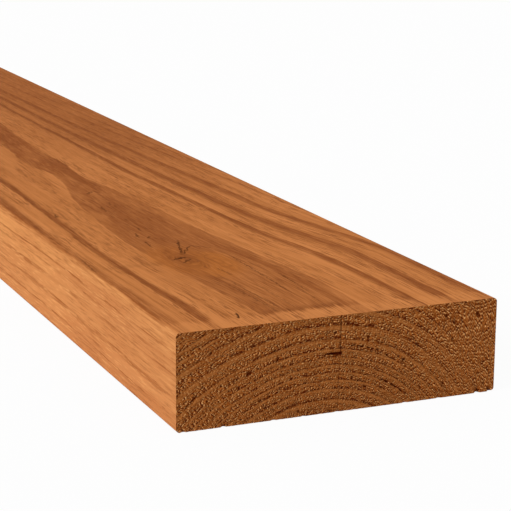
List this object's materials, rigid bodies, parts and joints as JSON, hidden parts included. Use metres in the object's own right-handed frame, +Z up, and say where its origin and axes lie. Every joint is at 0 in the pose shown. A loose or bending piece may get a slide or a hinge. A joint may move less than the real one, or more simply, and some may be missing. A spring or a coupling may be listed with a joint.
{
  "type": "lumber plank",
  "caption": "Straight flat-sawn softwood plank of rectangular section with eased long edges and square-sawn ends, for framing and decking.",
  "frame": {"origin": "centre of the underside, the wide face that the plank lies on", "axes": "+X along the grain towards the end nearest the camera in the picture, +Y across the width, +Z up through the thickness"},
  "size_m": [2.4384, 0.1396, 0.0397],
  "materials": {
    "treated_softwood": "matte"
  },
  "bodies": {
    "root": {"plank": "treated_softwood"}
  },
  "joints": []
}
